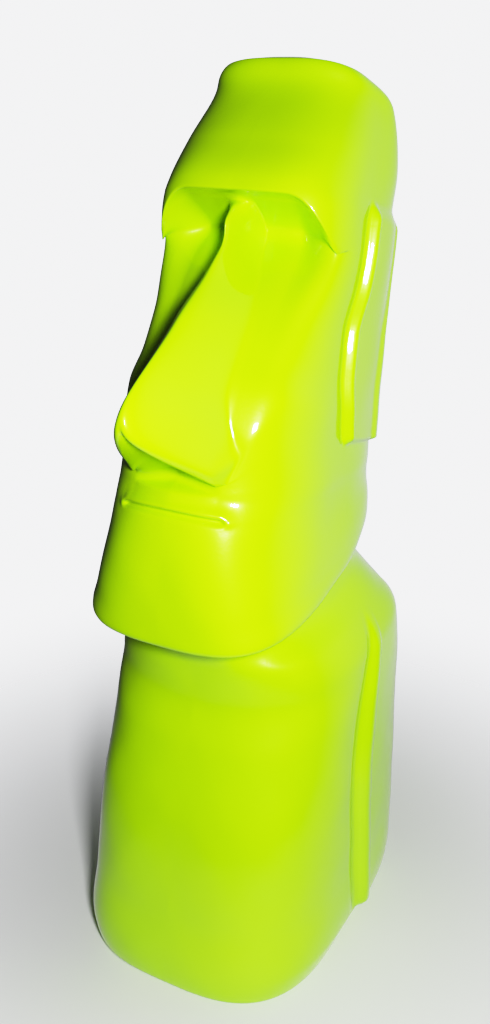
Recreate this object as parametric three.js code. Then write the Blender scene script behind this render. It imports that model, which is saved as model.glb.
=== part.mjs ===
// Decorative moai bust: one lacquered casting, face towards -Y, crown up (+Z), millimetres.
// The body is one skin of tilted rings, from the flat foot to the crown. Every size of a ring is
// read from a smooth profile over the height, and the carving is added as relief on the rings.
import * as THREE from 'three';

// ---------------------------------------------------------------- named heights (mm)
// Heights are measured up the middle of the face.
const SOLE = 0;
const FOOT_EDGE = 4;
const ARM_END = 14;
const HAND = 21;
const BELLY = 58;
const WAIST = 122;
const CHEST = 176;
const ARMPIT = 209;
const SHOULDER = 234;
const THROAT = 245;
const NECK = 256;
const JAW = 266;
const CHIN = 282;
const MOUTH = 349;
const RIM = 353;
const LIP = 360;
const EAR_FOOT = 392;
const NOSTRIL = 409;
const NOSE_TIP = 419;
const CHEEK = 460;
const EYE = 486;
const SOCKET = 500;
const BROW = 527;
const BROW_TOP = 534;
const FOREHEAD = 556;
const CROWN = 587;
const TOP_EDGE = 599.4;
const TOP = 600;

// ---------------------------------------------------------------- other driving sizes
const ROW_SPACING = 11.5;      // wanted distance from ring to ring
const NOSE_REACH = 1.08;       // foot of the nose, in nose half widths
const NOSE_RIDGE = 0.2;        // roundness of its ridge, in nose half widths
const NOSE_FOOT = 0.05;        // softness of its foot, as a share of its height
const WING = 29;               // half distance between the wings of the nose
const MOUTH_HALF = 37;         // half length of the mouth
const MOUTH_DEPTH = 1.8;
const MOUTH_DROOP = 3;         // fall of the mouth's corners
const PANEL_RIM = 0.09;        // width of the raised rim, as a share of the ear or the arm
const EAR_HOLLOW = 0.42;       // how far the ear's field lies behind its rim
const ARM_HOLLOW = 0.42;
const ARM_GROOVE = 0.35;       // groove in front of the arm, as a share of its relief

// ---------------------------------------------------------------- small maths
const clamp = (x, lo, hi) => Math.min(hi, Math.max(lo, x));

const mix = (a, b, t) => a + (b - a) * t;

// Smooth step: 0 before a, 1 after b, an S curve between.
function ramp(a, b, x) {
  const t = clamp((x - a) / (b - a), 0, 1);
  return t * t * (3 - 2 * t);
}

// Smooth curve through [height, value] knots: cubic pieces that don't overshoot their knots.
function profile(...knots) {
  const x = knots.map((knot) => knot[0]);
  const y = knots.map((knot) => knot[1]);
  const last = knots.length - 1;
  const secant = [];
  for (let i = 0; i < last; i++) secant.push((y[i + 1] - y[i]) / (x[i + 1] - x[i]));
  const slope = [secant[0]];
  for (let i = 1; i < last; i++) {
    const a = secant[i - 1];
    const b = secant[i];
    const w0 = x[i + 1] - x[i - 1] + x[i + 1] - x[i];
    const w1 = x[i + 1] - x[i - 1] + x[i] - x[i - 1];
    slope.push(a * b <= 0 ? 0 : (w0 + w1) / (w0 / a + w1 / b));
  }
  slope.push(secant[last - 1]);
  return (height) => {
    const h = clamp(height, x[0], x[last]);
    let i = 0;
    while (i < last - 1 && h > x[i + 1]) i++;
    const step = x[i + 1] - x[i];
    const t = (h - x[i]) / step;
    const t2 = t * t;
    const t3 = t2 * t;
    return (2 * t3 - 3 * t2 + 1) * y[i] + (t3 - 2 * t2 + t) * step * slope[i]
      + (3 * t2 - 2 * t3) * y[i + 1] + (t3 - t2) * step * slope[i + 1];
  };
}

// ---------------------------------------------------------------- profiles over the height
const PROFILES = {
  // how much higher each ring is at the back than at the face
  lift: profile([SOLE, 0], [BELLY, 2], [WAIST, 8], [CHEST, 20], [ARMPIT, 32], [SHOULDER, 28],
    [THROAT, 38], [NECK, 43], [CHIN, 37], [MOUTH, -10], [LIP, -14], [NOSE_TIP, -54], [CHEEK, -41],
    [SOCKET, -36], [BROW_TOP, -31], [TOP, -24]),
  // reach to the front (the face without its nose) and to the back
  front: profile([SOLE, -108], [FOOT_EDGE, -112], [ARM_END, -113], [BELLY, -105.5], [WAIST, -93.5],
    [CHEST, -76], [ARMPIT, -67], [SHOULDER, -68], [THROAT, -71], [NECK, -78], [JAW, -107],
    [CHIN, -106], [MOUTH, -95], [LIP, -86], [NOSE_TIP, -72], [CHEEK, -44], [SOCKET, -20],
    [BROW, -14], [BROW_TOP, -11], [FOREHEAD, 11], [CROWN, 42], [TOP_EDGE, 46], [TOP, 53]),
  back: profile([SOLE, 106], [FOOT_EDGE, 110], [HAND, 112.5], [BELLY, 113], [CHEST, 110],
    [ARMPIT, 107], [SHOULDER, 101], [THROAT, 95], [NECK, 91], [JAW, 89.5], [CHIN, 91.5],
    [MOUTH, 93], [CHEEK, 95], [FOREHEAD, 97.5], [CROWN, 94.5], [TOP_EDGE, 89], [TOP, 83]),
  // half width at the front and at the back
  frontWidth: profile([SOLE, 89], [FOOT_EDGE, 92.5], [HAND, 95.5], [BELLY, 92.5], [ARMPIT, 89.5],
    [SHOULDER, 79], [THROAT, 61], [NECK, 57], [JAW, 78], [CHIN, 75], [MOUTH, 68], [LIP, 68.5],
    [NOSE_TIP, 66.5], [440, 61.5], [CHEEK, 61.5], [EYE, 65], [SOCKET, 65.5], [BROW, 64],
    [BROW_TOP, 62], [FOREHEAD, 57], [CROWN, 47], [TOP_EDGE, 46.5], [TOP, 33]),
  backWidth: profile([SOLE, 76], [FOOT_EDGE, 79], [ARM_END, 85.5], [HAND, 90], [BELLY, 92.5],
    [CHEST, 89.5], [ARMPIT, 90.5], [SHOULDER, 79], [THROAT, 66], [NECK, 62], [JAW, 71.5],
    [CHIN, 73], [MOUTH, 69], [NOSE_TIP, 66.5], [CHEEK, 66.5], [BROW, 69.5], [FOREHEAD, 72.5],
    [CROWN, 69], [TOP_EDGE, 58], [TOP, 40]),
  // squareness of the corners: 2 is an ellipse, more is squarer
  frontCorner: profile([SOLE, 3], [BELLY, 3.2], [CHEST, 2.7], [ARMPIT, 2.5], [SHOULDER, 2.7],
    [NECK, 2.5], [JAW, 3.2], [MOUTH, 2.5], [LIP, 2.6], [CHEEK, 2.8], [BROW_TOP, 3.3],
    [FOREHEAD, 3.1], [CROWN, 3.3], [TOP, 3]),
  backCorner: profile([SOLE, 3], [BELLY, 3.3], [CHEST, 3.3], [SHOULDER, 2.5], [THROAT, 2.2],
    [NECK, 2.3], [CHIN, 3], [MOUTH, 3.2], [SOCKET, 3.8], [FOREHEAD, 4], [CROWN, 3.7], [TOP, 3]),
  // front and rear edge of the side panel: the arm low down, the ear above
  panelFront: profile([SOLE, 8], [ARM_END, 8], [HAND, 4.5], [BELLY, 1.5], [WAIST, 0.5], [CHEST, 8],
    [ARMPIT, 18], [SHOULDER, 27], [NECK, 34], [JAW, 34], [CHIN, 30], [MOUTH, 18], [EAR_FOOT, 10.5],
    [NOSE_TIP, 10.5], [CHEEK, 18.5], [EYE, 30], [BROW, 40], [FOREHEAD, 55], [TOP, 66]),
  panelRear: profile([SOLE, 84], [HAND, 88], [WAIST, 89], [ARMPIT, 86], [SHOULDER, 82], [NECK, 76],
    [CHIN, 70], [MOUTH, 63], [EAR_FOOT, 61], [NOSE_TIP, 63], [CHEEK, 71], [EYE, 80], [BROW, 84],
    [CROWN, 88], [TOP, 78]),
  // relief of the arm and of the ear
  arm: profile([ARM_END, 0], [HAND, 6], [BELLY, 6.5], [WAIST, 6.5], [CHEST, 6], [ARMPIT, 4],
    [SHOULDER, 0]),
  ear: profile([EAR_FOOT, 0], [NOSTRIL, 6], [BROW, 6], [BROW_TOP, 0]),
  // nose: half width, height of its ridge, and how far its lower edge falls towards the wings
  noseWidth: profile([LIP, 27], [LIP + 24, 28], [NOSTRIL, 31], [NOSE_TIP, 34], [430, 30],
    [440, 24.5], [CHEEK, 23], [EYE, 13], [SOCKET, 10], [BROW, 9]),
  nose: profile([MOUTH, 0], [RIM, 1.5], [LIP, 4], [LIP + 6, -4], [LIP + 9, -4], [LIP + 24, 15],
    [NOSTRIL - 4, 50], [NOSTRIL, 58.5], [NOSE_TIP, 64], [CHEEK, 44.5], [EYE, 36.5], [SOCKET, 36],
    [SOCKET + 8, 31], [BROW - 10, 13], [BROW - 3, 0]),
  dip: profile([LIP, 0], [LIP + 24, 17], [NOSTRIL, 38], [NOSE_TIP, 39.5], [CHEEK, 10.5], [EYE, 0],
    [SOCKET, 0]),
  // eye hollow under the brow, and how far it narrows the front corner
  sunk: profile([MOUTH, 0], [NOSE_TIP, 0], [CHEEK, 12], [EYE, 25.5], [SOCKET, 33],
    [BROW - 14, 22], [BROW - 7, 12.5], [BROW, 0]),
  pinch: profile([NOSE_TIP, 0], [CHEEK, 0], [EYE, 2.5], [SOCKET + 2, 9], [SOCKET + 5, 8.6],
    [BROW - 4, 1], [BROW, 0]),
  // fall of the brow towards its outer ends
  arch: profile([SOCKET, 0], [BROW, 38], [BROW_TOP, 33], [FOREHEAD, 18], [CROWN, 0]),
};

// Rings that lie on a carved edge. The others are spaced evenly between them.
const EDGES = [SOLE, FOOT_EDGE, ARM_END, HAND, ARMPIT, SHOULDER, NECK, JAW, CHIN, MOUTH - 5, MOUTH,
  RIM, LIP, LIP + 7, EAR_FOOT, NOSTRIL, NOSE_TIP, SOCKET, BROW - 10, BROW - 4, BROW, BROW_TOP, CROWN,
  TOP_EDGE, TOP];

function ringAt(height) {
  const ring = { height };
  for (const [name, curve] of Object.entries(PROFILES)) ring[name] = curve(height);
  return ring;
}

// Distance between two rings, the mean of the ways down the face and down the back.
function ringDistance(p, q) {
  const face = Math.hypot(q.height - p.height, q.front - q.nose - p.front + p.nose);
  const climb = q.height + q.lift - p.height - p.lift;
  return (face + Math.hypot(climb, q.back - p.back, q.backWidth - p.backWidth)) / 2;
}

// Rings from one edge up to the next, evenly spaced along the skin.
function stretchRings(from, to) {
  const samples = 60;
  const heights = [];
  const travelled = [0];
  for (let i = 0; i <= samples; i++) heights.push(mix(from, to, i / samples));
  for (let i = 1; i <= samples; i++) {
    travelled.push(travelled[i - 1] + ringDistance(ringAt(heights[i - 1]), ringAt(heights[i])));
  }
  const steps = Math.max(1, Math.round(travelled[samples] / ROW_SPACING));
  const rings = [];
  for (let s = 0; s < steps; s++) {
    const wanted = (travelled[samples] * s) / steps;
    let i = 0;
    while (travelled[i + 1] < wanted) i++;
    const t = (wanted - travelled[i]) / (travelled[i + 1] - travelled[i]);
    rings.push(ringAt(mix(heights[i], heights[i + 1], t)));
  }
  return rings;
}

function makeRings() {
  const rings = [];
  for (let i = 0; i < EDGES.length - 1; i++) rings.push(...stretchRings(EDGES[i], EDGES[i + 1]));
  rings.push(ringAt(TOP));
  return rings;
}

// ---------------------------------------------------------------- columns round one side
// A column is a place on the half outline from the middle of the face (0) round to the middle of
// the back: the front runs over x, the side over y, the back over x again. The guides follow the
// nose, the front corner and the edges of the side panel, so the carved edges lie on mesh lines.
const NOSE_COLUMNS = 7;
const FACE_COLUMNS = 7;
const SIDE_COLUMNS = 4;
const REAR_COLUMNS = 3;
const BACK_COLUMNS = 6;
const PANEL_STEPS = [-0.07, 0, 0.04, 0.09, 0.15, 0.27, 0.5, 0.76, 0.92, 1.0, 1.06];

function columns() {
  const list = [];
  for (let i = 0; i < NOSE_COLUMNS; i++) list.push({ zone: 'nose', t: i / NOSE_COLUMNS });
  for (let i = 0; i < FACE_COLUMNS; i++) list.push({ zone: 'face', t: i / FACE_COLUMNS });
  for (let i = 0; i < SIDE_COLUMNS; i++) list.push({ zone: 'side', t: i / SIDE_COLUMNS });
  for (const t of PANEL_STEPS) list.push({ zone: 'panel', t });
  for (let i = 1; i < REAR_COLUMNS; i++) list.push({ zone: 'rear', t: i / REAR_COLUMNS });
  for (let i = 0; i <= BACK_COLUMNS; i++) list.push({ zone: 'back', t: i / BACK_COLUMNS });
  return list;
}

// Place on the side of a unit square that the rounded outline carries to height Y.
function squarePlace(Y, n) {
  const s = Math.min(Math.abs(Y), 0.9);
  return Math.sign(Y) * s / Math.pow(1 - Math.pow(s, n), 1 / n);
}

function guides(ring) {
  const depth = ring.back - ring.front;
  const sideAt = (y) => squarePlace((2 * (y - ring.front)) / depth - 1, 3);
  const noseShare = clamp((1.2 * ring.noseWidth) / ring.frontWidth, 0.1, 0.75);
  const front = clamp(sideAt(ring.panelFront), -0.8, 0.75);
  const rear = clamp(sideAt(ring.panelRear), front + 0.1, 0.93);
  return { noseEdge: squarePlace(noseShare, ring.frontCorner), front, rear };
}

function squarePoint(column, g) {
  const panel = (t) => mix(g.front, g.rear, t);
  if (column.zone === 'nose') return [g.noseEdge * column.t, -1];
  if (column.zone === 'face') return [mix(g.noseEdge, 1, column.t), -1];
  if (column.zone === 'side') return [1, mix(-1, panel(PANEL_STEPS[0]), column.t)];
  if (column.zone === 'panel') return [1, panel(column.t)];
  if (column.zone === 'rear') return [1, mix(panel(PANEL_STEPS[PANEL_STEPS.length - 1]), 1, column.t)];
  return [1 - column.t, 1];
}

// ---------------------------------------------------------------- carved relief
// Nose: a roof across the face with a rounded ridge, whose foot runs softly into the cheek.
function noseShape(r) {
  const high = Math.hypot(NOSE_REACH, NOSE_RIDGE);
  const roof = (high - Math.hypot(r, NOSE_RIDGE)) / (high - NOSE_RIDGE);
  const softRoof = 0.5 * (roof + Math.hypot(roof, NOSE_FOOT));
  return softRoof * (1 - ramp(NOSE_REACH, NOSE_REACH + 0.7, r));
}

// Lower edge of the nose: falls from the tip to the wings, then climbs back into the cheek.
const wingFall = (r) => (r < 1 ? r : 1 - ramp(1, 2.2, r));

// Brow: level over its inner half, then falling to its outer end.
const browFall = (X) => Math.min(Math.pow(clamp(2 * X - 1, 0, 1), 2.5), 0.7);

// Side panel: a rounded rim at its front, a flatter and lower field, an edge at its rear.
const panelRise = (t) => ramp(-0.02, 0.06, t) * (1 - ramp(1.0, 1.06, t));
const panelField = (t) => ramp(PANEL_RIM, 1.7 * PANEL_RIM, t);

const earShape = (t) => panelRise(t) * (1 - EAR_HOLLOW * panelField(t) * (1 - ramp(0.78, 0.92, t)));

function armShape(t) {
  const groove = Math.exp(-Math.pow((t + 0.03) / 0.05, 2));
  return panelRise(t) * (1 - ARM_HOLLOW * panelField(t)) - ARM_GROOVE * groove;
}

// Mouth: a groove at its own height and a low rim above it, falling a little to the corners.
const mouthSign = (height) => (height === MOUTH ? -1 : 0) + (height === RIM ? 1 : 0);

function mouthDepth(x, sign) {
  const along = 1 - ramp(0.86 * MOUTH_HALF, 1.06 * MOUTH_HALF, x);
  return -sign * MOUTH_DEPTH * along * (sign < 0 ? 1 : 0.6);
}

// One point of the skin on the statue's left side (+X).
function skinPoint(ring, column, g) {
  const [bx, by] = squarePoint(column, g);
  const n = mix(ring.frontCorner, ring.backCorner, ramp(-0.6, 0.6, by));
  const rho = Math.pow(Math.pow(bx, n) + Math.pow(Math.abs(by), n), -1 / n);
  const X = rho * bx;
  const Y = rho * by;
  const share = (Y + 1) / 2;
  const front = 1 - ramp(-0.75, 0, Y);
  const side = ramp(0.55, 0.8, X);
  const mouth = mouthSign(ring.height);
  // a ring follows the nose's edge and the brow, so each point takes the body's sizes at its own level
  const fall = ring.dip * wingFall((X * ring.frontWidth) / WING) + ring.arch * browFall(X);
  const level = ring.height - front * fall;
  let x = X * mix(PROFILES.frontWidth(level), PROFILES.backWidth(level), share);
  let y = mix(PROFILES.front(level), PROFILES.back(level), share);
  let z = level + PROFILES.lift(level) * share;
  if (column.zone === 'panel') {
    x += side * (ring.ear * earShape(column.t) + ring.arm * armShape(column.t));
  }
  y -= front * ring.nose * noseShape(x / ring.noseWidth);
  y += front * ring.sunk * (1 - ramp(0.55, 1.05, X));
  y += front * mouthDepth(x, mouth);
  x -= ring.pinch * X * (1 - ramp(-0.9, -0.35, Y));
  z -= front * Math.abs(mouth) * MOUTH_DROOP * Math.min(1, (x / MOUTH_HALF) ** 2);
  return [x, y, z];
}

// ---------------------------------------------------------------- the closed skin
function buildSkin() {
  const rings = makeRings();
  const half = columns();
  const points = [];
  for (const ring of rings) {
    const g = guides(ring);
    const left = half.map((column) => skinPoint(ring, column, g));
    const right = left.slice(1, -1).reverse().map(([x, y, z]) => [-x, y, z]);
    points.push(...left, ...right);
  }
  const around = 2 * (half.length - 1);
  const faces = [];
  for (let row = 0; row < rings.length - 1; row++) {
    for (let col = 0; col < around; col++) {
      const a = row * around + col;
      const b = row * around + ((col + 1) % around);
      faces.push(a, b, b + around, a, b + around, a + around);
    }
  }
  closeEnd(points, faces, 0, around, -1);
  closeEnd(points, faces, (rings.length - 1) * around, around, 1);
  return { points, faces };
}

// Closes the first or last ring with a fan to its centre.
function closeEnd(points, faces, start, around, facing) {
  const ring = points.slice(start, start + around);
  const centre = [0, 1, 2].map((k) => ring.reduce((sum, p) => sum + p[k], 0) / around);
  const hub = points.length;
  points.push(centre);
  for (let col = 0; col < around; col++) {
    const a = start + col;
    const b = start + ((col + 1) % around);
    if (facing > 0) faces.push(hub, a, b);
    else faces.push(hub, b, a);
  }
}

function makeMesh(name, { points, faces }, colour) {
  const geometry = new THREE.BufferGeometry();
  geometry.setAttribute('position', new THREE.Float32BufferAttribute(points.flat(), 3));
  geometry.setIndex(faces);
  geometry.computeVertexNormals();
  const material = new THREE.MeshStandardMaterial({ color: colour, roughness: 0.18, metalness: 0 });
  material.name = 'lime_lacquer';
  const mesh = new THREE.Mesh(geometry, material);
  mesh.name = name;
  return mesh;
}

const group = new THREE.Group();
group.name = 'moai_statue';
group.add(makeMesh('moai_body', buildSkin(), 0xa6dc00));

export default group;
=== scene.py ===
# %% [markdown]
# # A moai bust in glossy lime lacquer
# The object is one hollow casting, sprayed with a thick coat of lime green lacquer. The packed
# solid is loaded first. It is the fixed frame: it gives the size and the place, and the fine
# surface made below stands exactly where it stands. Loading the frame, rather than modelling to
# remembered numbers, keeps the looks and the construction in step.

# %% Load the frame
import math

import bpy
import numpy as np
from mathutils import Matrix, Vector


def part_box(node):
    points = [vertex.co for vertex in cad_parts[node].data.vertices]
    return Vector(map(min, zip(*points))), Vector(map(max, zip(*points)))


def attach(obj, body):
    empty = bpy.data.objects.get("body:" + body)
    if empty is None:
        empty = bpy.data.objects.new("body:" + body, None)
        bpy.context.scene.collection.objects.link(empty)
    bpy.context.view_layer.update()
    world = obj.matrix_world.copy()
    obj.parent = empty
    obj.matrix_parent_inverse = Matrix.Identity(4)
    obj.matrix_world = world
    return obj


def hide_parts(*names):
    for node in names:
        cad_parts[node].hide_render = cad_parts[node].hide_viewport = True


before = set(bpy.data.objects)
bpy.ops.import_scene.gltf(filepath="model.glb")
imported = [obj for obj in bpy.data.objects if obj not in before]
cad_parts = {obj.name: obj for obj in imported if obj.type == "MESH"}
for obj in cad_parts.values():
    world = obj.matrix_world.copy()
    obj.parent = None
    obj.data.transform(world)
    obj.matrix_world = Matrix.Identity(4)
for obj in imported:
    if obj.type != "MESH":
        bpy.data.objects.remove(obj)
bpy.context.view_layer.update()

body_low, body_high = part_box("moai_body")
print("frame box", [round(v, 4) for v in (*body_low, *body_high)])

# %% [markdown]
# ## The unit and the named heights
# A statue like this is described best by heights up the middle of its face: where the jaw juts,
# where the mouth is cut, where the brow overhangs. They are written in millimetres of a bust that
# is 600 mm tall, and one such millimetre is measured from the frame, so a frame of another size
# would carry the whole bust with it.

# %% Named heights
NOMINAL_HEIGHT = 600.0
mm = (body_high[2] - body_low[2]) / NOMINAL_HEIGHT

SOLE, FOOT_EDGE, ARM_END, HAND = 0, 4, 14, 21
BELLY, WAIST, CHEST, ARMPIT, SHOULDER = 58, 122, 176, 209, 234
THROAT, NECK, JAW, CHIN = 245, 256, 266, 282
MOUTH, RIM, LIP = 349, 353, 360
EAR_FOOT, NOSTRIL, NOSE_TIP, WING_TOP = 392, 409, 419, 430
NOSE_SIDE, CHEEK = 440, 460
EYE, SOCKET, BROW, BROW_TOP = 486, 500, 527, 534
FOREHEAD, CROWN, TOP_EDGE, TOP = 556, 587, 599.4, 600
print("one nominal millimetre is", round(mm * 1000, 4), "mm")

# %% [markdown]
# ## Smooth profiles over the height
# Every size of the body changes smoothly over the height: how far the belly reaches, how wide the
# jaw is, how square the corners are. A spline through a few knots could overshoot between them and
# give a wavy outline. The cubic used here never does, because its slope at a knot is a mean of the
# slopes on both sides of it, and is zero where they have different signs.

# %% A curve that doesn't overshoot


def profile(*knots):
    """Smooth curve through (height, value) knots, as a function of an array of heights.

    Each interval is a cubic through its two knots. The slope at a knot is the weighted harmonic
    mean of the two neighbouring secants, or zero at a peak or a valley.
    """
    x, y = np.array(knots, float).T
    secant = np.diff(y) / np.diff(x)
    before, after = secant[:-1], secant[1:]
    w0 = 2 * np.diff(x)[1:] + np.diff(x)[:-1]
    w1 = np.diff(x)[1:] + 2 * np.diff(x)[:-1]
    same_sign = before * after > 0
    safe_before = np.where(same_sign, before, 1.0)
    safe_after = np.where(same_sign, after, 1.0)
    inner = np.where(same_sign, (w0 + w1) / (w0 / safe_before + w1 / safe_after), 0.0)
    slope = np.concatenate([secant[:1], inner, secant[-1:]])

    def curve(height):
        h = np.clip(height, x[0], x[-1])
        i = np.clip(np.searchsorted(x, h) - 1, 0, len(x) - 2)
        step = x[i + 1] - x[i]
        t = (h - x[i]) / step
        return ((2 * t**3 - 3 * t**2 + 1) * y[i] + (t**3 - 2 * t**2 + t) * step * slope[i]
                + (3 * t**2 - 2 * t**3) * y[i + 1] + (t**3 - t**2) * step * slope[i + 1])

    return curve


def ramp(a, b, x):
    """Smooth step: 0 up to a, 1 from b on, and 3 t^2 - 2 t^3 between."""
    t = np.clip((x - a) / (b - a), 0, 1)
    return t * t * (3 - 2 * t)


def bump(x, centre, width):
    """Bell of height 1: e to the minus square of the distance from the centre, in widths."""
    return np.exp(-(((x - centre) / width) ** 2))


print("between two equal knots the curve stays at", float(profile((0, 0), (1, 1), (2, 1))(1.5)))

# %% [markdown]
# ## The sizes of the bust, from the foot to the crown
# The outline profiles give the plain body: a block that leans, widens and narrows. The carving
# profiles give how strong each carved form is at every height, so a form starts and ends softly
# without an edge of its own.

# %% The outline and the corners
PROFILES = {
    # how much higher each ring is at the back than at the face
    "lift": profile((SOLE, 0), (BELLY, 2), (WAIST, 8), (CHEST, 20), (ARMPIT, 32), (SHOULDER, 28),
                    (THROAT, 38), (NECK, 43), (CHIN, 37), (MOUTH, -10), (LIP, -14), (NOSE_TIP, -54),
                    (CHEEK, -41), (SOCKET, -36), (BROW_TOP, -31), (TOP, -24)),
    # reach to the front (the face without its nose) and to the back
    "front": profile((SOLE, -108), (FOOT_EDGE, -112), (ARM_END, -113), (BELLY, -105.5),
                     (WAIST, -93.5), (CHEST, -76), (ARMPIT, -67), (SHOULDER, -68), (THROAT, -71),
                     (NECK, -78), (JAW, -107), (CHIN, -106), (MOUTH, -95), (LIP, -86),
                     (NOSE_TIP, -72), (CHEEK, -44), (SOCKET, -20), (BROW, -14), (BROW_TOP, -11),
                     (FOREHEAD, 11), (CROWN, 42), (TOP_EDGE, 46), (TOP, 53)),
    "back": profile((SOLE, 106), (FOOT_EDGE, 110), (HAND, 112.5), (BELLY, 113), (CHEST, 110),
                    (ARMPIT, 107), (SHOULDER, 101), (THROAT, 95), (NECK, 91), (JAW, 89.5),
                    (CHIN, 91.5), (MOUTH, 93), (CHEEK, 95), (FOREHEAD, 97.5), (CROWN, 94.5),
                    (TOP_EDGE, 89), (TOP, 83)),
    # half width at the front and at the back
    "front_width": profile((SOLE, 89), (FOOT_EDGE, 92.5), (HAND, 95.5), (BELLY, 92.5),
                           (ARMPIT, 89.5), (SHOULDER, 79), (THROAT, 61), (NECK, 57), (JAW, 78),
                           (CHIN, 74), (MOUTH, 67), (LIP, 68), (NOSE_TIP, 66.5),
                           (NOSE_SIDE, 61.5), (CHEEK, 61.5), (EYE, 65), (SOCKET, 65.5),
                           (BROW, 64), (BROW_TOP, 62), (FOREHEAD, 57), (CROWN, 46),
                           (TOP_EDGE, 43), (TOP, 31)),
    "back_width": profile((SOLE, 76), (FOOT_EDGE, 79), (ARM_END, 85.5), (HAND, 90), (BELLY, 92.5),
                          (CHEST, 89.5), (ARMPIT, 90.5), (SHOULDER, 79), (THROAT, 66), (NECK, 62),
                          (JAW, 71.5), (CHIN, 73), (MOUTH, 69), (NOSE_TIP, 66.5), (CHEEK, 66.5),
                          (BROW, 69.5), (FOREHEAD, 72.5), (CROWN, 69), (TOP_EDGE, 58), (TOP, 40)),
    # squareness of the corners: 2 is an ellipse, more is squarer
    "front_corner": profile((SOLE, 3), (BELLY, 3.2), (CHEST, 2.7), (ARMPIT, 2.5), (SHOULDER, 2.7),
                            (NECK, 2.5), (JAW, 3.2), (MOUTH, 2.5), (LIP, 2.6), (CHEEK, 2.8),
                            (BROW_TOP, 3.3), (FOREHEAD, 3.1), (CROWN, 3.3), (TOP, 3)),
    "back_corner": profile((SOLE, 3), (BELLY, 3.3), (CHEST, 3.3), (SHOULDER, 2.5), (THROAT, 2.2),
                           (NECK, 2.3), (CHIN, 3), (MOUTH, 3.2), (SOCKET, 3.8), (FOREHEAD, 4),
                           (CROWN, 3.7), (TOP, 3)),
    # front and rear edge of the side panel: the arm low down, the ear above
    "panel_front": profile((SOLE, 8), (ARM_END, 8), (HAND, 4.5), (BELLY, 1.5), (WAIST, 0.5),
                           (CHEST, 8), (ARMPIT, 18), (SHOULDER, 27), (NECK, 34), (JAW, 34),
                           (CHIN, 30), (MOUTH, 18), (EAR_FOOT, 10.5), (NOSE_TIP, 10.5),
                           (CHEEK, 18.5), (EYE, 30), (BROW, 40), (FOREHEAD, 55), (TOP, 66)),
    "panel_rear": profile((SOLE, 84), (HAND, 88), (WAIST, 89), (ARMPIT, 86), (SHOULDER, 82),
                          (NECK, 76), (CHIN, 70), (MOUTH, 63), (EAR_FOOT, 61), (NOSE_TIP, 63),
                          (CHEEK, 71), (EYE, 80), (BROW, 84), (CROWN, 88), (TOP, 78)),
}
print(len(PROFILES), "outline profiles")

# %% The strength of each carved form over the height
PROFILES.update({
    # relief of the arm and of the ear
    "arm": profile((ARM_END + 3, 0), (HAND + 2, 6), (BELLY, 6.5), (WAIST, 6.5), (CHEST, 6),
                   (ARMPIT, 4), (SHOULDER, 0)),
    "ear": profile((EAR_FOOT, 0), (EAR_FOOT + 9, 6), (BROW - 3, 6), (BROW_TOP, 0)),
    # nose: half width, and height of its ridge over the face
    "nose_width": profile((LIP, 27), (LIP + 24, 28), (NOSTRIL, 31), (NOSE_TIP, 34),
                          (WING_TOP, 30), (NOSE_SIDE, 24.5), (CHEEK, 23), (EYE, 13), (SOCKET, 10),
                          (BROW, 9)),
    "nose": profile((MOUTH, 0), (RIM, 1.5), (LIP, 4), (LIP + 3, 1), (LIP + 6, -4), (LIP + 9, -4),
                    (LIP + 24, 15), (NOSTRIL - 4, 50), (NOSTRIL, 58.5), (NOSTRIL + 4, 62.5),
                    (NOSE_TIP, 64), (CHEEK, 44.5), (EYE, 36.5), (SOCKET, 36), (SOCKET + 8, 31),
                    (BROW - 10, 13), (BROW - 6, 2), (BROW - 3, 0)),
    # softness of the crease between the nose and the cheek
    "nose_foot": profile((LIP, 0.02), (NOSE_TIP, 0.03), (CHEEK, 0.12), (SOCKET, 0.06)),
    # fall of the nose's lower edge from the tip to the wings
    "dip": profile((LIP, 0), (LIP + 24, 17), (NOSTRIL, 38), (NOSE_TIP, 39.5), (CHEEK, 10.5),
                   (EYE, 0), (SOCKET, 0)),
    # depth of the eye hollow, whose upper side is the hollow underside of the brow
    "sunk": profile((MOUTH, 0), (NOSE_TIP, 0), (CHEEK, 12), (EYE, 25.5), (SOCKET - 1, 33),
                    (SOCKET + 1, 33), (BROW - 20, 28.5), (BROW - 14, 22), (BROW - 7, 12.5),
                    (BROW - 2, 5), (BROW, 0)),
    # how far the hollow narrows the front corner of the head
    "pinch": profile((NOSE_TIP, 0), (CHEEK, 0), (EYE, 2.5), (SOCKET + 2, 9), (SOCKET + 5, 8.6),
                     (BROW - 4, 1), (BROW, 0)),
    # fall of the brow towards its outer ends
    "arch": profile((SOCKET, 0), (BROW, 38), (BROW_TOP, 33), (FOREHEAD, 18), (CROWN, 0)),
})
print(len(PROFILES), "profiles in all")

# %% [markdown]
# ## Rings from the foot to the crown
# The skin is a loft of tilted rings. Rings at equal steps of height would crowd on the upright
# chest and leave the flat underside of the jaw with two or three of them, so they are spread by
# the way travelled over the skin, and packed closer where an edge is tight: at the jaw, the mouth,
# the brow and the crown. Last, every size is averaged along the skin over a millimetre or two,
# because a coat of lacquer leaves no edge truly sharp.

# %% Spread the rings over the skin
RING_COUNT = 318
FINE_STEPS = 12001
SMOOTHING = 1.3          # reach of the averaging along the skin, in nominal millimetres
# height, reach and extra rings of each place with a tight edge
TIGHT_PLACES = ((SOLE + 4, 8, 1.2), (JAW - 4, 12, 1.3), (RIM, 9, 3.4), (NOSTRIL, 9, 1.2),
                (BROW - 2, 9, 3.6), (TOP_EDGE, 5, 1.2))


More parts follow.
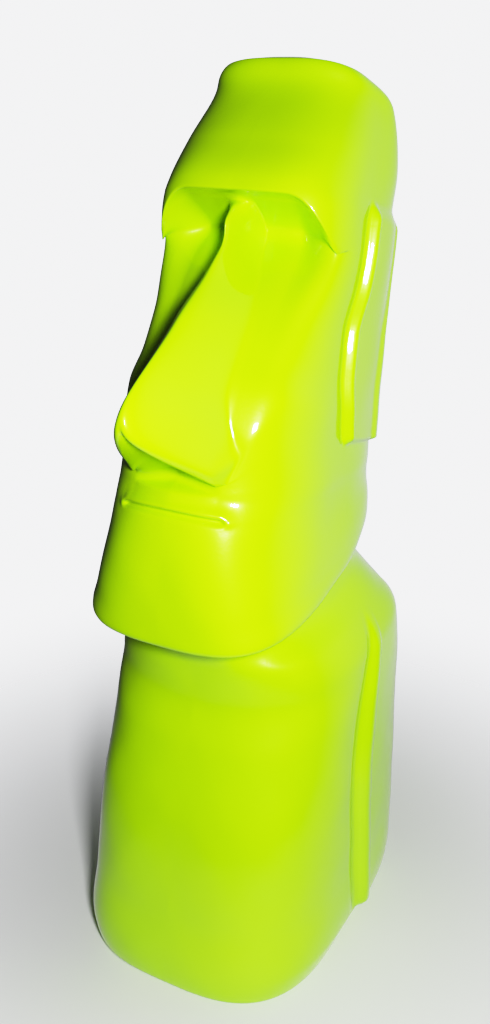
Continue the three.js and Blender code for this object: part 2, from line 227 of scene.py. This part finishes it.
def travel(fine):
    """Way over the skin: mean of the steps down the face and down the back, added up."""
    ring = {name: curve(fine) for name, curve in PROFILES.items()}
    face = np.hypot(np.diff(fine), np.diff(ring["front"] - ring["nose"]))
    climb = np.diff(fine + ring["lift"])
    back = np.sqrt(climb**2 + np.diff(ring["back"]) ** 2 + np.diff(ring["back_width"]) ** 2)
    return np.concatenate([[0], np.cumsum((face + back) / 2)])


def spread_rings(count):
    """Heights of the rings: equal shares of the way travelled, weighted up at the tight places."""
    fine = np.linspace(SOLE, TOP, FINE_STEPS)
    way = travel(fine)
    weight = 1 + sum(gain * bump(fine, at, width) for at, width, gain in TIGHT_PLACES)
    share = np.concatenate([[0], np.cumsum(np.diff(way) * (weight[1:] + weight[:-1]) / 2)])
    heights = np.interp(np.linspace(0, share[-1], count), share, fine)
    return heights, fine, way


def soften(fine, way, values, reach):
    """Average of a profile over the skin, weighted by a bell of the given reach."""
    even = np.linspace(0, way[-1], FINE_STEPS)
    step = even[1]
    ends = int(3 * reach / step)
    offsets = np.arange(-ends, ends + 1)
    bell = bump(offsets * step, 0, reach)
    sampled = np.interp(even, way, values)
    padded = np.pad(sampled, len(offsets) // 2, mode="reflect", reflect_type="odd")
    return np.interp(way, even, np.convolve(padded, bell / bell.sum(), mode="valid"))


heights, fine, way = spread_rings(RING_COUNT)
# the sizes at the fine heights, and the same sizes at the rings, as a column of numbers each
softened = {name: soften(fine, way, curve(fine), SMOOTHING) for name, curve in PROFILES.items()}
ring = {name: np.interp(heights, fine, values)[:, None] for name, values in softened.items()}
ring["height"] = heights[:, None]
print(RING_COUNT, "rings over", round(way[-1]), "mm of skin")

# %% [markdown]
# ## Columns round the body
# Round each ring, a column is a place on the side of a unit square that is then pushed out to the
# rounded outline. Evenly spaced columns would cut across the ear and the arm. Here they follow
# guides instead: the foot of the nose, the front corner, and the two edges of the side panel. So
# the carved edges run along mesh lines, and stay clean with few faces.

# %% Guides on the square
NOSE_SPREAD = 1.3          # where the guide beside the nose runs, in nose half widths
SIDE_CORNER = 3            # squareness that the guides of the panel are laid out for


def square_place(y, n):
    """Place s on the side of the unit square that the outline carries to y.

    The outline carries s to s over the nth root of one plus s to the n, so s is y over the nth
    root of one minus y to the n.
    """
    near = np.minimum(np.abs(y), 0.9)
    return np.sign(y) * near / (1 - near**n) ** (1 / n)


def side_guide(edge):
    """Place on the square's side for a panel edge at the given millimetres behind the middle.

    The way from the ring's front to its back is scaled to -1 to 1 first.
    """
    depth = ring["back"] - ring["front"]
    return square_place(2 * (edge - ring["front"]) / depth - 1, SIDE_CORNER)


# the limits keep the guides apart on narrow rings
nose_share = np.clip(NOSE_SPREAD * ring["nose_width"] / ring["front_width"], 0.1, 0.75)
nose_edge = square_place(nose_share, ring["front_corner"])
panel_a = np.clip(side_guide(ring["panel_front"]), -0.8, 0.75)
panel_b = np.clip(side_guide(ring["panel_rear"]), panel_a + 0.1, 0.93)
print("the panel takes up to", round(float((panel_b - panel_a).max()) / 2, 2), "of the side")

# %% Lay out the columns
NOSE_COLUMNS, FACE_COLUMNS, SIDE_COLUMNS = 34, 30, 12
RIM_COLUMNS, FIELD_COLUMNS, EDGE_COLUMNS = 22, 14, 12
REAR_COLUMNS, BACK_COLUMNS = 6, 20
# places across the panel, from 0 at its front edge to 1 at its rear edge
PANEL_START, RIM_END, FIELD_END, PANEL_END = -0.12, 0.3, 0.74, 1.08
NO_LANE = -9.0


def lanes(start, stop, count):
    """Evenly spaced places from start up to, but not including, stop, as a row."""
    return (start + (stop - start) * np.arange(count) / count)[None, :]


def along_panel(t):
    """Place on the square's side of a place t across the panel."""
    return panel_a + (panel_b - panel_a) * t


panel_lanes = np.concatenate([lanes(PANEL_START, RIM_END, RIM_COLUMNS),
                              lanes(RIM_END, FIELD_END, FIELD_COLUMNS),
                              lanes(FIELD_END, PANEL_END, EDGE_COLUMNS)], 1)
ones = np.ones((RING_COUNT, 1))
nose_part = nose_edge * lanes(0, 1, NOSE_COLUMNS)
face_part = nose_edge + (1 - nose_edge) * lanes(0, 1, FACE_COLUMNS)
side_part = -1 + (along_panel(PANEL_START) + 1) * lanes(0, 1, SIDE_COLUMNS)
panel_part = along_panel(panel_lanes)
rear_part = along_panel(PANEL_END) + (1 - along_panel(PANEL_END)) * lanes(0, 1, REAR_COLUMNS)
back_part = ones * (1 - np.arange(BACK_COLUMNS + 1) / BACK_COLUMNS)[None, :]

front_count = NOSE_COLUMNS + FACE_COLUMNS
side_count = SIDE_COLUMNS + panel_lanes.size + REAR_COLUMNS
square_x = np.concatenate([nose_part, face_part, np.repeat(ones, side_count, 1), back_part], 1)
square_y = np.concatenate([np.repeat(-ones, front_count, 1), side_part, panel_part, rear_part,
                           np.repeat(ones, BACK_COLUMNS + 1, 1)], 1)
lane = np.full(square_x.shape, NO_LANE)
panel_from = front_count + SIDE_COLUMNS
lane[:, panel_from:panel_from + panel_lanes.size] = panel_lanes
print(square_x.shape[1], "columns on one side")

# %% [markdown]
# ## The plain body
# A superellipse, where x to the n plus y to the n is one, is a circle for n = 2 and turns squarer
# as n grows. It suits a carved block with rounded corners: the exponent goes smoothly from the
# front corner's to the back corner's along the side.
#
# The brow and the lower edge of the nose fall towards their ends. The rings follow them, so that
# these edges run along mesh lines, but the plain body must not bend with its rings. So each point
# of a ring has a level of its own, and takes the sizes of the plain body at that level.

# %% Round the square
toward_back = ramp(-0.6, 0.6, square_y)
exponent = ring["front_corner"] + (ring["back_corner"] - ring["front_corner"]) * toward_back
reach = (square_x**exponent + np.abs(square_y) ** exponent) ** (-1 / exponent)
across, along = reach * square_x, reach * square_y
share = (along + 1) / 2               # 0 at the face, 1 at the back
on_front = 1 - ramp(-0.75, 0, along)  # 1 on the face, fading out on the side
on_side = ramp(0.55, 0.8, across)     # 1 on the side, 0 on the face and the back
print("corner exponents", round(float(exponent.min()), 2), "to", round(float(exponent.max()), 2))

# %% Let the rings follow the brow and the nose
WING = 29.0                           # half width of the nose where its wings hang lowest
BROW_DEEPEST = 0.7                    # share of the arch that the brow's ends reach


def wing_fall(r):
    """Fall of the nose's lower edge: grows to the wing at r = 1, then climbs into the cheek."""
    return np.where(r < 1, r, 1 - ramp(1, 2.2, r))


def brow_fall(across):
    """Fall of the brow: none over the inner half, then to the power 2.5 up to its deepest."""
    return np.minimum(np.clip(2 * across - 1, 0, 1) ** 2.5, BROW_DEEPEST)


wing_drop = ring["dip"] * wing_fall(across * ring["front_width"] / WING)
fall = wing_drop + ring["arch"] * brow_fall(across)
level = ring["height"] - on_front * fall
print("deepest fall of a ring", round(float((on_front * fall).max()), 1), "mm")

# %% Push the square out to the rounded outline


def size_at(name):
    """A size of the plain body at the level of every point."""
    return np.interp(level, fine, softened[name])


front, back = size_at("front"), size_at("back")
front_width, back_width = size_at("front_width"), size_at("back_width")
x = across * (front_width + (back_width - front_width) * share)
y = front + (back - front) * share
z = level + size_at("lift") * share
print("plain body half width", round(float(x.max()), 1), "mm")

# %% [markdown]
# ## The ear and the arm
# On the real casting both are long raised panels on the side: a rounded ridge along the front
# edge and a lower flat field behind it. The ear has a second ridge behind its field. They could
# be separate meshes joined on, but a lacquered casting shows no joint, so they are relief on the
# same skin, as a function of the place across the panel.

# %% Side panels
# the ridge's width as a share of the panel's, and the field's depth as a share of the relief
PANEL_RIM, PANEL_HOLLOW = 0.09, 0.42
EAR_GROOVE, ARM_GROOVE = 0.2, 0.35
EAR_FIELD_END = 0.78
ARM_FIELD_END = 9.0                    # past the rear edge, so the arm has no second ridge


def panel_relief(t, field_end):
    """Relief across a panel, from 0 at its front edge to 1 at its rear edge.

    Up over the front edge, down by the hollow behind a ridge of the rim's width, up again at the
    end of the field, and down over the rear edge.
    """
    rise = ramp(-0.01, 0.05, t) * (1 - ramp(1.0, 1.06, t))
    field = ramp(PANEL_RIM, 1.7 * PANEL_RIM, t) * (1 - ramp(field_end, field_end + 0.14, t))
    return rise * (1 - PANEL_HOLLOW * field)


def panel_groove(t, depth):
    """Narrow groove in front of a panel: a bell of the given depth."""
    return depth * bump(t, -0.035, 0.04)


ear_relief = panel_relief(lane, EAR_FIELD_END) - panel_groove(lane, EAR_GROOVE)
arm_relief = panel_relief(lane, ARM_FIELD_END) - panel_groove(lane, ARM_GROOVE)
panels = np.where(lane > NO_LANE, ring["ear"] * ear_relief + ring["arm"] * arm_relief, 0)
x = x + on_side * panels
print("half width over the ears and arms", round(float(x.max()), 1), "mm")

# %% [markdown]
# ## Nose, eyes and brow
# The nose is a roof across the face: a rounded ridge, straight flanks and a foot that runs softly
# into the cheek. Its lower edge falls from the tip towards the wings, which opens the hollow
# underside, and a fine groove sets each wing off from the cheek. The eyes are only a hollow under
# the overhanging brow, whose ends arch down.

# %% Carve the face
# the ridge's radius, where the flanks meet the cheek, and the fade past that, in half widths
NOSE_RIDGE, NOSE_REACH, NOSE_FADE = 0.2, 1.08, 0.7
WING_GROOVE = 1.0


def nose_roof(r, foot):
    """Roof over r, the distance from the middle in nose half widths.

    A hyperbola from 1 at the ridge to 0 at the foot, whose foot is softened, and which fades out
    on the cheek.
    """
    high = np.hypot(NOSE_REACH, NOSE_RIDGE)
    roof = (high - np.hypot(r, NOSE_RIDGE)) / (high - NOSE_RIDGE)
    return 0.5 * (roof + np.hypot(roof, foot)) * (1 - ramp(NOSE_REACH, NOSE_REACH + NOSE_FADE, r))


r = x / ring["nose_width"]
at_wing = bump(ring["height"], NOSE_TIP + 4, 13)
y = y - on_front * ring["nose"] * nose_roof(r, ring["nose_foot"])
y = y + on_front * WING_GROOVE * at_wing * bump(r, 1.1, 0.1)
y = y + on_front * ring["sunk"] * (1 - ramp(0.55, 1.05, across))
x = x - ring["pinch"] * across * (1 - ramp(-0.97, -0.6, along))
print("nose reaches", round(float(y.min()), 1), "mm to the front")

# %% [markdown]
# ## The mouth
# The mouth is one thin groove with a fine raised rim above it, falling a little to the corners,
# each of which ends in a small knob. The groove and the rim are bells over the height, times a
# fade at the corners. The knob is a bell both ways.

# %% Cut the mouth
MOUTH_HALF, MOUTH_DEPTH, MOUTH_DROOP = 37, 3.0, 3.0
RIM_SHARE, KNOB_HEIGHT = 0.4, 1.2
mouth_fade = 1 - ramp(0.88 * MOUTH_HALF, 1.04 * MOUTH_HALF, x)
mouth_line = bump(ring["height"], MOUTH, 1.7) - RIM_SHARE * bump(ring["height"], RIM, 1.8)
near_mouth = bump(ring["height"], (MOUTH + RIM) / 2, 9)
knob = bump(x, MOUTH_HALF, 3.5) * bump(ring["height"], MOUTH + 1, 3)
y = y + on_front * (MOUTH_DEPTH * mouth_line * mouth_fade - KNOB_HEIGHT * knob)
z = z - on_front * near_mouth * MOUTH_DROOP * np.minimum(1, (x / MOUTH_HALF) ** 2)
print("mouth groove", MOUTH_DEPTH, "mm deep")

# %% [markdown]
# ## The unevenness of a hand-finished casting
# Filler and paint over a casting are never quite flat. The waves are too low to show in the
# outline, but they break up the long streaks of light on the gloss.

# %% Make it slightly uneven
WAVE_COUNT, WAVE_HEIGHT = 14, 0.34
WAVE_SHORT, WAVE_LONG = 24.0, 70.0
WAVE_SEED = 7


def unevenness(x, y, z):
    """Sum of sines in seeded directions, the longer the higher, over the root of half their number."""
    random = np.random.default_rng(WAVE_SEED)
    total = np.zeros_like(x)
    for _ in range(WAVE_COUNT):
        way_x, way_y, way_z = random.normal(size=3)
        length = random.uniform(WAVE_SHORT, WAVE_LONG)
        turn = 2 * np.pi / (length * np.sqrt(way_x**2 + way_y**2 + way_z**2))
        phase = random.uniform(0, 2 * np.pi)
        total += np.sin((x * way_x + y * way_y + z * way_z) * turn + phase) * length / WAVE_LONG
    return total / np.sqrt(WAVE_COUNT / 2)


wave = WAVE_HEIGHT * unevenness(x, y, z) * ramp(2, 20, z)
outward = np.hypot(across, along)
x = x + wave * across / outward * ramp(0, 0.1, across)
y = y + wave * along / outward
print("waves up to", round(float(np.abs(wave).max()), 2), "mm")

# %% [markdown]
# ## Close the skin
# The grid holds one side of the body. The other is its mirror image, taken in reverse order so
# that all faces keep pointing outwards. The foot and the crown are closed by rings that shrink to
# one point, because a single fan of long thin triangles would catch the light.

# %% Faces and points of a closed skin


def cap_rings(edge, count):
    """Rings that shrink in equal steps from an edge ring to its middle, and that middle point."""
    middle = edge.mean(axis=0)
    shrink = 1 - (np.arange(1, count) / count)[:, None, None]
    return middle + (edge - middle)[None] * shrink, middle


def grid_faces(rows, around):
    """Quads of a grid that is closed round its columns, facing outwards.

    The corners of a quad are a point, the next one round, and the two above them.
    """
    row, col = np.meshgrid(np.arange(rows - 1), np.arange(around), indexing="ij")
    a = row * around + col
    b = row * around + (col + 1) % around
    return np.stack([a, b, b + around, a + around], -1).reshape(-1, 4)


def fan_faces(start, around, hub, up):
    """Triangles between neighbouring points of a ring and its middle point, facing up or down."""
    a = start + np.arange(around)
    b = start + (np.arange(around) + 1) % around
    hubs = np.full(around, hub)
    return np.stack([a, b, hubs] if up else [b, a, hubs], -1)


def make_mesh(name, points, quads, triangles):
    """Mesh from arrays: points, then the corners of quads and triangles in one list."""
    mesh = bpy.data.meshes.new(name)
    corners = np.concatenate([quads.ravel(), triangles.ravel()])
    sizes = np.concatenate([np.full(len(quads), 4), np.full(len(triangles), 3)])
    starts = np.concatenate([[0], np.cumsum(sizes)[:-1]])
    mesh.vertices.add(len(points))
    mesh.vertices.foreach_set("co", points.ravel())
    mesh.loops.add(len(corners))
    mesh.loops.foreach_set("vertex_index", corners)
    mesh.polygons.add(len(sizes))
    mesh.polygons.foreach_set("loop_start", starts)
    mesh.update(calc_edges=True)
    mesh.validate()
    mesh.shade_smooth()
    piece = bpy.data.objects.new(name, mesh)
    bpy.context.collection.objects.link(piece)
    return piece


print("a closed grid of 2 rings of 3 points has", len(grid_faces(2, 3)), "quads")

# %% Mirror, close and write the skin
CAP_RINGS = 8
left = np.stack([x, y, z], -1)
right = left[:, -2:0:-1] * [-1, 1, 1]
skin = np.concatenate([left, right], 1)
around = skin.shape[1]
foot_rings, foot_point = cap_rings(skin[0], CAP_RINGS)
crown_rings, crown_point = cap_rings(skin[-1], CAP_RINGS)
skin = np.concatenate([foot_rings[::-1], skin, crown_rings])
foot_hub, crown_hub = len(skin) * around + np.arange(2)
points = np.concatenate([skin.reshape(-1, 3), [foot_point, crown_point]]) * mm
quads = grid_faces(len(skin), around)
triangles = np.concatenate([fan_faces(0, around, foot_hub, False),
                            fan_faces((len(skin) - 1) * around, around, crown_hub, True)])
moai = make_mesh("moai_skin", points, quads, triangles)
print("moai_skin:", len(quads) * 2 + len(triangles), "triangles")

# %% [markdown]
# ## Put it on the frame
# Nothing on the bust moves, so the skin rides on the one body there is. It stands for the packed
# solid, which is then not shown, and it takes the finish that the solid is listed with.

# %% Put it on the frame
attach(moai, "root")
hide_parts("moai_body")
print("moai_skin replaces moai_body")

# %% [markdown]
# ## Shader maths as Python expressions
# Node trees are quick to draw and slow to read. A small class that wraps a socket lets the maths
# of a finish be written as an expression, and one method makes any other node.

# %% A socket that can be calculated with


class Wire:
    """An output socket of a node tree. Expressions on wires add Math nodes.

    A wire without a socket only starts a tree: it can make nodes, but can't be calculated with.
    """

    def __init__(self, tree, socket):
        self.tree = tree
        self.socket = socket

    def node(self, kind, settings=None, **inputs):
        """Adds a node: its settings first, then values or wires for its sockets.

        A socket goes by its name, with _ for a space, or by its number, as in i0.
        """
        made = self.tree.nodes.new(kind)
        for key, value in (settings or {}).items():
            setattr(made, key, value)
        for key, value in inputs.items():
            place = int(key[1:]) if key[1:].isdigit() else key.replace("_", " ")
            socket = made.inputs[place]
            if isinstance(value, Wire):
                self.tree.links.new(value.socket, socket)
            else:
                socket.default_value = value
        return made

    def maths(self, operation, other, swap=False):
        """Adds a Math node on this wire and a number or another wire."""
        first, second = (other, self) if swap else (self, other)
        made = self.node("ShaderNodeMath", {"operation": operation}, i0=first, i1=second)
        return Wire(self.tree, made.outputs[0])

    def __add__(self, other):
        return self.maths("ADD", other)

    __radd__ = __add__

    def __mul__(self, other):
        return self.maths("MULTIPLY", other)

    __rmul__ = __mul__

    def __sub__(self, other):
        return self.maths("SUBTRACT", other)

    def __rsub__(self, other):
        return self.maths("SUBTRACT", other, swap=True)

    def out(self, made, name=0):
        """The output of a made node, as a wire."""
        return Wire(self.tree, made.outputs[name])


print("a wire can be added, multiplied and subtracted")

# %% [markdown]
# ## The lacquer
# The finish is a sprayed gloss lacquer: one saturated colour, a mirror-like coat, and the slight
# unevenness of a hand-finished casting. A plain glossy colour would give ruler-straight
# reflections, so the coat gets two bumps: a broad one from the filler under the paint, and a very
# fine one, the orange peel of sprayed paint. The colour is a little deeper where the coat is thick.

# %% Make the lime lacquer
DEEP_LIME, LIGHT_LIME = (0.39, 0.74, 0.0, 1), (0.46, 0.80, 0.0, 1)
LACQUER = {"Roughness": 0.28, "IOR": 1.4, "Specular IOR Level": 0.2, "Coat IOR": 1.45,
           "Coat Weight": 1.0, "Coat Roughness": 0.03}
# noise scales: how many patches there are to the metre
CLOUD_SCALE, FILLER_SCALE, PEEL_SCALE = 9.0, 28.0, 420.0
FILLER_HEIGHT, PEEL_HEIGHT = 0.004, 0.0006
FILLER_STRENGTH, PEEL_STRENGTH = 0.10, 0.05


def new_material(name, values):
    """Material with a Principled shader whose sockets have the given values, and the shader."""
    material = bpy.data.materials.new(name)
    material.use_nodes = True
    shader = material.node_tree.nodes["Principled BSDF"]
    for socket, value in values.items():
        shader.inputs[socket].default_value = value
    return material, shader


def lime_lacquer():
    """Glossy coat over lime: noise mixes two greens, and two bumps are laid one on the other."""
    material, shader = new_material("lime_lacquer", LACQUER)
    tree = material.node_tree
    start = Wire(tree, None)
    place = start.out(start.node("ShaderNodeTexCoord"), "Object")

    def noise(scale, detail):
        made = start.node("ShaderNodeTexNoise", Vector=place, Scale=scale, Detail=detail,
                          Roughness=0.5)
        return start.out(made, "Fac")

    colour = start.node("ShaderNodeMix", {"data_type": "RGBA"}, i0=noise(CLOUD_SCALE, 2.0),
                        i6=DEEP_LIME, i7=LIGHT_LIME)
    tree.links.new(colour.outputs[2], shader.inputs["Base Color"])
    filler = start.node("ShaderNodeBump", Strength=FILLER_STRENGTH, Distance=FILLER_HEIGHT,
                        Height=noise(FILLER_SCALE, 1.0))
    peel = start.node("ShaderNodeBump", Strength=PEEL_STRENGTH, Distance=PEEL_HEIGHT,
                      Height=noise(PEEL_SCALE, 1.0), Normal=start.out(filler, "Normal"))
    tree.links.new(peel.outputs["Normal"], shader.inputs["Normal"])
    return material


moai.data.materials.append(lime_lacquer())
print("finish:", moai.data.materials[0].name)

# %% [markdown]
# ## The floor
# The bust stands on a plain pale floor that only has to catch its shadow. A floor with a hard edge
# would be mirrored in the gloss as a line, so it is a disc that fades away towards its rim.

# %% Lay the floor
FLOOR_RADIUS, FLOOR_SOLID = 0.55, 0.10   # radius, and radius up to which it is solid, in metres
FLOOR_RINGS, FLOOR_SIDES = 12, 96
FLOOR_DROP = 0.0003


def disc_points(radius, rings, around):
    """Points of a flat disc: rings of equal steps of radius, by cosine and sine of the angle."""
    turn = 2 * np.pi * np.arange(around) / around
    reach = radius * np.arange(1, rings + 1)[:, None] / rings
    return np.stack([reach * np.cos(turn), reach * np.sin(turn), 0 * reach * turn], -1)


disc = disc_points(FLOOR_RADIUS, FLOOR_RINGS, FLOOR_SIDES).reshape(-1, 3)
floor = make_mesh("floor", np.concatenate([disc, [[0, 0, 0]]]) - [0, 0, FLOOR_DROP],
                  grid_faces(FLOOR_RINGS, FLOOR_SIDES)[:, ::-1],
                  fan_faces(0, FLOOR_SIDES, len(disc), True))
floor_paint, floor_shader = new_material("pale_floor", {"Base Color": (0.82, 0.82, 0.83, 1),
                                                        "Roughness": 0.6})
paint = Wire(floor_paint.node_tree, None)
floor_place = paint.out(paint.node("ShaderNodeTexCoord"), "Object")
radial = paint.node("ShaderNodeVectorMath", {"operation": "LENGTH"}, i0=floor_place)
fade = paint.node("ShaderNodeMapRange", {"interpolation_type": "SMOOTHSTEP"},
                  Value=paint.out(radial, "Value"), From_Min=FLOOR_SOLID,
                  From_Max=FLOOR_RADIUS, To_Min=1.0, To_Max=0.0)
floor_paint.node_tree.links.new(fade.outputs[0], floor_shader.inputs["Alpha"])
floor.data.materials.append(floor_paint)
print("floor", 2 * FLOOR_RADIUS, "m across")

# %% [markdown]
# ## The room
# Lacquer shows little of its own and much of what is around it. An evenly bright sky would lay a
# grey veil over the whole bust. So the room that it mirrors is dim, but for a pale wall behind it
# on the right, which draws the soft grey band down its side. The background that the camera sees
# is bright and plain.

# %% Light the room
BACKDROP_LIGHT = 1.75                # what the camera sees round the floor
ROOM_LIGHT, WALL_LIGHT = 0.05, 1.1   # what lights the bust: all round, and the pale wall
WALL_X, WALL_Y = 0.4, 0.9            # way to the middle of the wall
WALL_START, WALL_FULL = 0.35, 0.9    # where along that way the wall fades in

world = bpy.data.worlds.new("dim_room")
world.use_nodes = True
sky = Wire(world.node_tree, None)
seen = sky.out(sky.node("ShaderNodeLightPath"), "Is Camera Ray")
way_out = sky.out(sky.node("ShaderNodeTexCoord"), "Generated")
ways = sky.node("ShaderNodeSeparateXYZ", Vector=way_out)
toward_wall = WALL_X * sky.out(ways, "X") + WALL_Y * sky.out(ways, "Y")
wall = sky.out(sky.node("ShaderNodeMapRange", {"interpolation_type": "SMOOTHSTEP"},
                        Value=toward_wall, From_Min=WALL_START, From_Max=WALL_FULL))
room = ROOM_LIGHT + WALL_LIGHT * wall
strength = room + seen * (BACKDROP_LIGHT - room)
background = world.node_tree.nodes["Background"]
background.inputs["Color"].default_value = (0.97, 0.975, 1.0, 1)
world.node_tree.links.new(strength.socket, background.inputs["Strength"])
bpy.context.scene.world = world
print("room", ROOM_LIGHT, "with a wall of", WALL_LIGHT)

# %% [markdown]
# ## The key light
# One small bright lamp stands close beside the camera. It lights the bust from the front, and its
# mirror image in the coat gives the sharp streaks that tell the eye the surface is glossy.

# %% Hang the key light
KEY_PLACE, KEY_AIM = (0.413, -0.564, 0.60), (0, 0, 0.36)
KEY_SIZE, KEY_POWER = 0.09, 10.5     # side in metres, power in watts

key_data = bpy.data.lights.new("key", "AREA")
key_data.size = KEY_SIZE
key_data.energy = KEY_POWER
key = bpy.data.objects.new("key", key_data)
key.location = KEY_PLACE
key.rotation_euler = (Vector(KEY_AIM) - Vector(KEY_PLACE)).to_track_quat("-Z", "Y").to_euler()
bpy.context.collection.objects.link(key)
print("key light", round((Vector(KEY_AIM) - Vector(KEY_PLACE)).length, 2), "m from the bust")

# %% [markdown]
# ## How the picture takes the light
# Light shown as it is measured would be cut off at full white or full yellow on the bright side
# of the lacquer. Film answers light with an S-shaped curve instead: it presses dark tones down
# and bends bright ones over softly. The colour management takes that curve as a few points.

# %% Shape the tones
CONTRAST, BRIGHTEST = 1.3, 4.0       # power of the curve, and the light that it takes as white


def film_curve(light):
    """Answer of film: light to the power of the contrast, over the root of one plus its square."""
    rise = light**CONTRAST
    return rise / math.hypot(1, rise)


view = bpy.context.scene.view_settings
view.view_transform = "Standard"
view.look = "None"
view.use_curve_mapping = True
view.curve_mapping.white_level = (BRIGHTEST,) * 3
tones = view.curve_mapping.curves[3]
for light in (0.05, 0.1, 0.2, 0.35, 0.5, 0.75, 1.0, 1.5, 2.0, 3.0):
    tones.points.new(light / BRIGHTEST, film_curve(light))
view.curve_mapping.update()
print("light 1 is shown as", round(film_curve(1.0), 3))

# %% [markdown]
# ## The camera
# The bust is seen from close by, from its left and from the height of its crown, looking down.
# Close by, the head looks large and the foot small, as to a person who stands in front of it.

# %% Place the camera
CAMERA_PLACE = (0.3395, -0.6054, 0.5959)
CAMERA_PITCH, CAMERA_YAW = 21.93, 29.18      # degrees down, and round to the left
CAMERA_LENS, CAMERA_FILM = 39.14, 36.0       # focal length and width of the film in millimetres

camera_data = bpy.data.cameras.new("camera")
camera_data.lens = CAMERA_LENS
camera_data.sensor_width = CAMERA_FILM
camera = bpy.data.objects.new("camera", camera_data)
camera.location = CAMERA_PLACE
camera.rotation_euler = [math.radians(a) for a in (90 - CAMERA_PITCH, 0, CAMERA_YAW)]
bpy.context.collection.objects.link(camera)
bpy.context.scene.camera = camera
print("camera", round(math.dist(CAMERA_PLACE, (0, 0, body_high[2] / 2)), 2), "m from the bust")
